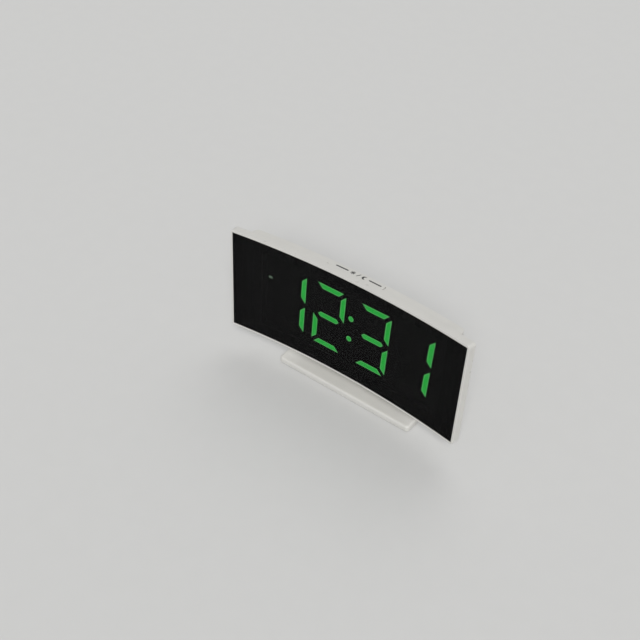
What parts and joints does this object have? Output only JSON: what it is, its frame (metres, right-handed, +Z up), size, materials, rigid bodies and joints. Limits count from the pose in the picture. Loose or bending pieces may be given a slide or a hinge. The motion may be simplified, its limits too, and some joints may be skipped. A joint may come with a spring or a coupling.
{
  "type": "digital led desk clock",
  "caption": "Digital desk clock with a leaning, concave half-mirror panel, lit green digits behind it, a snooze key on top, rear push buttons and a flat foot.",
  "frame": {"origin": "on the table, under the middle of the whole clock", "axes": "+X along the panel to the right of someone facing the digits, +Y away from that person, +Z up"},
  "size_m": [0.1904, 0.0512, 0.0997],
  "materials": {
    "white_plastic": "satin warm white moulded plastic",
    "mirror_lens": "gloss black tinted half mirror",
    "black_plastic": "matt black moulding",
    "foam_tape": "black foam",
    "lit_green": "translucent, lit green from behind",
    "dark_segment": "smoked translucent, unlit",
    "led_chip": "pale resin",
    "board_green": "green lacquered laminate",
    "steel": "zinc-plated",
    "plunger_plastic": "dark moulding",
    "cell_can": "plain blue sleeve",
    "crystal_can": "bright can",
    "tinned_copper": "tinned wire",
    "pad_rubber": "matt black rubber"
  },
  "bodies": {
    "case": {"front_frame": "white_plastic", "rear_shell": "white_plastic", "base_foot": "white_plastic", "mirror_lens": "mirror_lens", "lens_tape": "foam_tape", "segment_reflector": "black_plastic", "lit_segments": "lit_green", "dark_segments": "dark_segment", "led_chips": "led_chip", "display_board": "board_green", "board_screws": "steel", "shell_screws": "steel", "foot_screws": "steel", "button_switches": "black_plastic", "snooze_switch": "black_plastic", "battery_cell_1": "cell_can", "battery_cell_2": "cell_can", "battery_cell_3": "cell_can", "plus_contacts": "steel", "minus_contacts": "steel", "power_inlet": "black_plastic", "sounder": "black_plastic", "control_chip": "black_plastic", "quartz_crystal": "crystal_can", "resistors": "black_plastic", "lead_wires": "tinned_copper", "base_pad": "pad_rubber"},
    "set": {"set_button": "white_plastic", "set_plunger": "plunger_plastic"},
    "mode": {"mode_button": "white_plastic", "mode_plunger": "plunger_plastic"},
    "up": {"up_button": "white_plastic", "up_plunger": "plunger_plastic"},
    "down": {"down_button": "white_plastic", "down_plunger": "plunger_plastic"},
    "snooze": {"snooze_key": "white_plastic", "snooze_plunger": "plunger_plastic"},
    "cover": {"battery_cover": "white_plastic"}
  },
  "joints": [
    {"name": "set_press", "type": "slide", "parent": "case", "child": "set", "axis": [0, -0.9919, 0.1271], "range_m": [0, 0.0006], "stiffness_N_per_m": 400, "springref_m": -0.0005},
    {"name": "mode_press", "type": "slide", "parent": "case", "child": "mode", "axis": [0, -0.9919, 0.1271], "range_m": [0, 0.0006], "stiffness_N_per_m": 400, "springref_m": -0.0005},
    {"name": "up_press", "type": "slide", "parent": "case", "child": "up", "axis": [0, -0.9919, 0.1271], "range_m": [0, 0.0006], "stiffness_N_per_m": 400, "springref_m": -0.0005},
    {"name": "down_press", "type": "slide", "parent": "case", "child": "down", "axis": [0, -0.9919, 0.1271], "range_m": [0, 0.0006], "stiffness_N_per_m": 400, "springref_m": -0.0005},
    {"name": "snooze_press", "type": "slide", "parent": "case", "child": "snooze", "axis": [0, -0.1271, -0.9919], "range_m": [0, 0.0008], "stiffness_N_per_m": 500, "springref_m": -0.0006},
    {"name": "cover_swing", "type": "hinge", "parent": "case", "child": "cover", "pos_m": [0, 0.01128, 0.06227], "axis": [1, 0, 0], "range_deg": [0, 70]}
  ]
}
